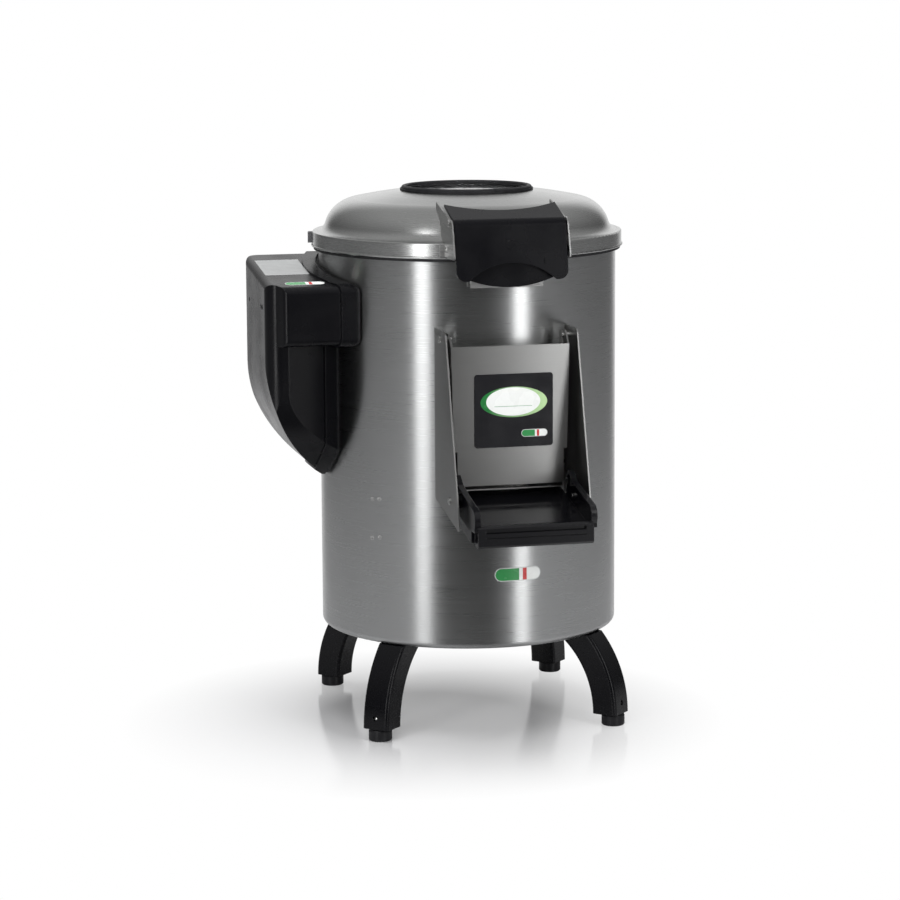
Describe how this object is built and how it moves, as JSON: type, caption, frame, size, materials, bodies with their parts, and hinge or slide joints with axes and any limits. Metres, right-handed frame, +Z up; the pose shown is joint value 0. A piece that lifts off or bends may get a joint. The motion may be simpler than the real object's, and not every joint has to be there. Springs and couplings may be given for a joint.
{
  "type": "electric potato peeler",
  "caption": "Floor-standing electric potato peeler: round steel tub with a turning abrasive disc, hinged lid with window, discharge door over a fold-up tray, side control box and curved legs",
  "frame": {"origin": "on the floor, on the tub's own vertical axis, midway between the feet", "axes": "+Z up along the tub's axis, -Y to the front where the discharge door and tray are, -X to the side with the control box, +Y to the rear where the lid is hinged"},
  "size_m": [0.4996, 0.5974, 0.7163],
  "materials": {
    "tub_steel": "brushed along the circumference, satin sheen",
    "lid_steel": "fine satin",
    "sheet_steel": "brushed",
    "turned_steel": "turned, bright",
    "fitting_brass": "turned",
    "abrasive": "coarse grit bonded in resin",
    "cast_alloy": "as cast, machined where it seats",
    "housing_iron": "painted casting",
    "motor_paint": "semi-matt",
    "leg_black": "black, semi-matt",
    "black_rubber": "matt",
    "box_plastic": "black, satin gloss",
    "handle_plastic": "black, satin gloss",
    "tray_plastic": "black, gloss",
    "clear_pane": "clear",
    "panel_grey": "fine texture",
    "switch_ivory": "moulded",
    "badge_gloss": "printed plate, gloss",
    "knob_black": "moulded",
    "button_green": "moulded",
    "button_red": "moulded"
  },
  "bodies": {
    "machine": {"tub_shell": "tub_steel", "base_ring": "sheet_steel", "floor_ledge": "sheet_steel", "chamber_floor": "sheet_steel", "peeling_drum": "sheet_steel", "abrasive_lining": "abrasive", "discharge_throat": "sheet_steel", "drain_spigot": "sheet_steel", "water_inlet": "fitting_brass", "strike_plate": "sheet_steel", "side_plates": "sheet_steel", "small_screws": "turned_steel", "pivot_bolts": "turned_steel", "leg_front_left": "leg_black", "leg_front_right": "leg_black", "leg_rear_right": "leg_black", "leg_rear_left": "leg_black", "feet": "black_rubber", "leg_bolts": "turned_steel", "bearing_housing": "housing_iron", "shaft_bearings": "turned_steel", "shaft_seal": "black_rubber", "motor_housing": "motor_paint", "motor_end_caps": "cast_alloy", "motor_mount": "sheet_steel", "motor_cable": "black_rubber", "drive_belt": "black_rubber", "hinge_base": "sheet_steel", "hinge_pin": "turned_steel", "box_gasket": "black_rubber", "box_base": "box_plastic", "box_cover": "box_plastic", "control_panel": "panel_grey", "switchgear": "switch_ivory", "cable_gland": "box_plastic"},
    "lid": {"lid_shell": "lid_steel", "lid_gasket": "black_rubber", "lid_window": "clear_pane", "window_ring": "black_rubber", "handle_brackets": "sheet_steel", "handle_pin": "turned_steel", "hinge_arm": "sheet_steel", "lid_magnet": "panel_grey"},
    "handle": {"handle_hood": "handle_plastic", "latch_tongue": "sheet_steel"},
    "door": {"door_plate": "sheet_steel", "door_box": "sheet_steel", "door_seal": "black_rubber", "door_badge": "badge_gloss"},
    "tray": {"discharge_tray": "tray_plastic"},
    "disc": {"cast_disc": "cast_alloy", "abrasive_disc": "abrasive", "disc_nut": "turned_steel", "drive_shaft": "turned_steel", "drive_pulley": "cast_alloy"},
    "motor_rotor": {"motor_shaft": "turned_steel", "motor_pulley": "cast_alloy"},
    "timer_knob": {"timer_knob": "knob_black"},
    "start_button": {"start_button": "button_green"},
    "stop_button": {"stop_button": "button_red"}
  },
  "joints": [
    {"name": "lid_hinge", "type": "hinge", "parent": "machine", "child": "lid", "pos_m": [0, 0.217, 0.65], "axis": [-1, 0, 0], "range_deg": [0, 95]},
    {"name": "handle_pivot", "type": "hinge", "parent": "lid", "child": "handle", "pos_m": [0, -0.218, 0.684], "axis": [-1, 0, 0], "range_deg": [0, 20]},
    {"name": "door_hinge", "type": "hinge", "parent": "machine", "child": "door", "pos_m": [0, -0.212, 0.536], "axis": [-1, 0, 0], "range_deg": [0, 75]},
    {"name": "tray_fold", "type": "hinge", "parent": "machine", "child": "tray", "pos_m": [0, -0.263, 0.334], "axis": [-1, 0, 0], "range_deg": [0, 105]},
    {"name": "disc_spin", "type": "hinge", "parent": "machine", "child": "disc", "pos_m": [0, 0, 0.33], "axis": [0, 0, 1], "continuous": true},
    {"name": "motor_spin", "type": "hinge", "parent": "machine", "child": "motor_rotor", "pos_m": [0, 0.118, 0.2], "axis": [0, 0, 1], "continuous": true},
    {"name": "timer_turn", "type": "hinge", "parent": "machine", "child": "timer_knob", "pos_m": [-0.239, 0.09, 0.575], "axis": [0, -1, 0], "range_deg": [0, 300]},
    {"name": "start_press", "type": "slide", "parent": "machine", "child": "start_button", "axis": [0, -1, 0], "range_m": [0, 0.003], "stiffness_N_per_m": 400},
    {"name": "stop_press", "type": "slide", "parent": "machine", "child": "stop_button", "axis": [0, -1, 0], "range_m": [0, 0.003], "stiffness_N_per_m": 400}
  ],
  "couplings": [
    {"joint": "motor_spin", "follows": "disc_spin", "ratio": 3.12}
  ]
}
